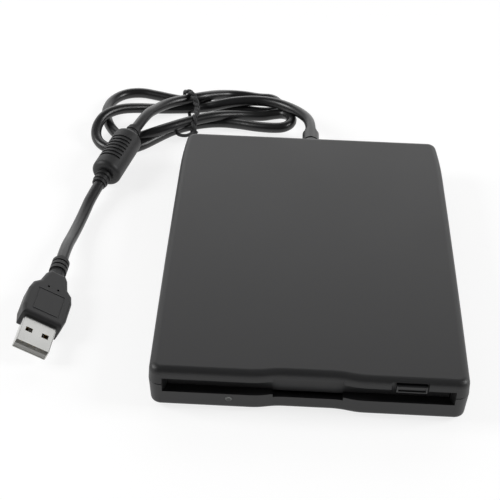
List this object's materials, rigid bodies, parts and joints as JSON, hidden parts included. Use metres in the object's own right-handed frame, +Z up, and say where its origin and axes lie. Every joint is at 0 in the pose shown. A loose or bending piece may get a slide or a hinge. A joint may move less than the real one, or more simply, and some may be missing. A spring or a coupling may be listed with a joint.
{
  "type": "external floppy disk drive",
  "caption": "Slim external 3.5 inch floppy disk drive with a front disk slot, hinged dust door, eject button and a captive USB lead tied in a hank.",
  "frame": {"origin": "on the table under the middle of the case", "axes": "+X right seen from the front, +Y from the disk slot to the rear, +Z up"},
  "size_m": [0.1522, 0.2021, 0.017],
  "materials": {
    "case_plastic": "fine moulded texture",
    "door_plastic": "smooth moulded",
    "button_plastic": "polished moulding",
    "light_lens": "clear diffusing",
    "rubber": "matt",
    "screw_steel": "zinc plated",
    "spring_steel": "drawn wire and strip",
    "zinc_sheet": "galvanised sheet",
    "circuit_board": "solder resist",
    "chip_resin": "moulded resin",
    "copper": "enamelled copper wire",
    "bearing_bronze": "sintered bronze",
    "turned_metal": "turned",
    "ferrite": "sintered",
    "acetal": "moulded",
    "switch_plastic": "moulded",
    "head_ceramic": "lapped ceramic",
    "arm_spring": "spring sheet",
    "flex_film": "film",
    "cable_jacket": "extruded flexible jacket",
    "grip_plastic": "moulded flexible grip",
    "tie_plastic": "coated wire",
    "plug_metal": "nickel plated sheet",
    "plug_insulator": "moulded",
    "plug_gold": "gold flashed"
  },
  "bodies": {
    "case": {"top_shell": "case_plastic", "bottom_shell": "case_plastic", "rubber_feet": "rubber", "case_screws": "screw_steel", "chassis_screws": "screw_steel", "led_lens": "light_lens", "status_led": "light_lens", "led_board": "circuit_board", "door_hinge_pin": "screw_steel", "door_spring": "spring_steel", "chassis": "zinc_sheet", "drive_cover": "zinc_sheet", "eject_springs": "spring_steel", "motor_board": "circuit_board", "spindle_bearing": "bearing_bronze", "stator_coils": "copper", "guide_rods": "screw_steel", "rod_clamps": "spring_steel", "stepper_motor": "turned_metal", "stepper_bracket": "zinc_sheet", "sensor_switches": "switch_plastic", "control_board": "circuit_board", "board_standoffs": "acetal", "control_chips": "chip_resin", "usb_board": "circuit_board", "usb_bridge_parts": "chip_resin", "lead_connector": "switch_plastic", "cable_gland": "cable_jacket", "cable_hank": "cable_jacket", "cable_tie": "tie_plastic", "usb_cable_start": "cable_jacket", "usb_cable_end": "cable_jacket", "ferrite_overmold": "grip_plastic", "ferrite_core": "ferrite", "plug_overmold": "grip_plastic", "plug_shell": "plug_metal", "plug_tongue": "plug_insulator", "plug_contacts": "plug_gold"},
    "door": {"dust_door": "door_plastic"},
    "eject": {"eject_button": "button_plastic", "eject_slide": "zinc_sheet"},
    "carrier": {"disk_carrier": "zinc_sheet", "carrier_pins": "screw_steel"},
    "spindle": {"spindle_rotor": "turned_metal", "rotor_magnet": "ferrite", "drive_pin": "screw_steel"},
    "carriage": {"head_carriage": "acetal", "lower_head": "head_ceramic", "arm_pivot_pin": "screw_steel", "head_flex_cable": "flex_film"},
    "arm": {"upper_head_arm": "arm_spring", "upper_head": "head_ceramic"},
    "screw": {"lead_screw": "turned_metal"},
    "latch": {"latch_lever": "acetal"},
    "disk_in": {"disk_in_plunger": "switch_plastic"},
    "write_protect": {"write_protect_plunger": "switch_plastic"}
  },
  "joints": [
    {"name": "door_hinge", "type": "hinge", "parent": "case", "child": "door", "pos_m": [0, -0.0666, 0.0139], "axis": [-1, 0, 0], "range_deg": [-88, 0], "stiffness_Nm_per_rad": 0.0006, "springref_deg": 28.65},
    {"name": "eject_slide", "type": "slide", "parent": "case", "child": "eject", "axis": [0, -1, 0], "range_m": [0, 0.004]},
    {"name": "carrier_drop", "type": "slide", "parent": "case", "child": "carrier", "axis": [0, 0, -1], "range_m": [0, 0.00201]},
    {"name": "latch_turn", "type": "hinge", "parent": "case", "child": "latch", "pos_m": [-0.03, 0.042, 0.00975], "axis": [0, 0, 1], "range_deg": [0, 12.02]},
    {"name": "head_travel", "type": "slide", "parent": "case", "child": "carriage", "axis": [0, -1, 0], "range_m": [0, 0.0148]},
    {"name": "lead_screw_turn", "type": "hinge", "parent": "case", "child": "screw", "pos_m": [0.02, 0.044, 0.0094], "axis": [0, 1, 0], "range_deg": [0, 1777]},
    {"name": "arm_lower", "type": "hinge", "parent": "carriage", "child": "arm", "pos_m": [0, 0.0504, 0.0119], "axis": [1, 0, 0], "range_deg": [0, 10.32]},
    {"name": "spindle_spin", "type": "hinge", "parent": "case", "child": "spindle", "pos_m": [0, -0.013, 0.006], "axis": [0, 0, 1], "continuous": true},
    {"name": "disk_in_press", "type": "slide", "parent": "case", "child": "disk_in", "axis": [0, 0, -1], "range_m": [0, 0.0007], "stiffness_N_per_m": 300, "springref_m": -0.0005},
    {"name": "write_protect_press", "type": "slide", "parent": "case", "child": "write_protect", "axis": [0, 0, -1], "range_m": [0, 0.0007], "stiffness_N_per_m": 300, "springref_m": -0.0005}
  ],
  "couplings": [
    {"joint": "carrier_drop", "follows": "eject_slide", "ratio": 0.5},
    {"joint": "latch_turn", "follows": "eject_slide", "rad_per_m": 52.36},
    {"joint": "arm_lower", "follows": "eject_slide", "rad_per_m": 44.942},
    {"joint": "lead_screw_turn", "follows": "head_travel", "rad_per_m": 2094.4}
  ]
}
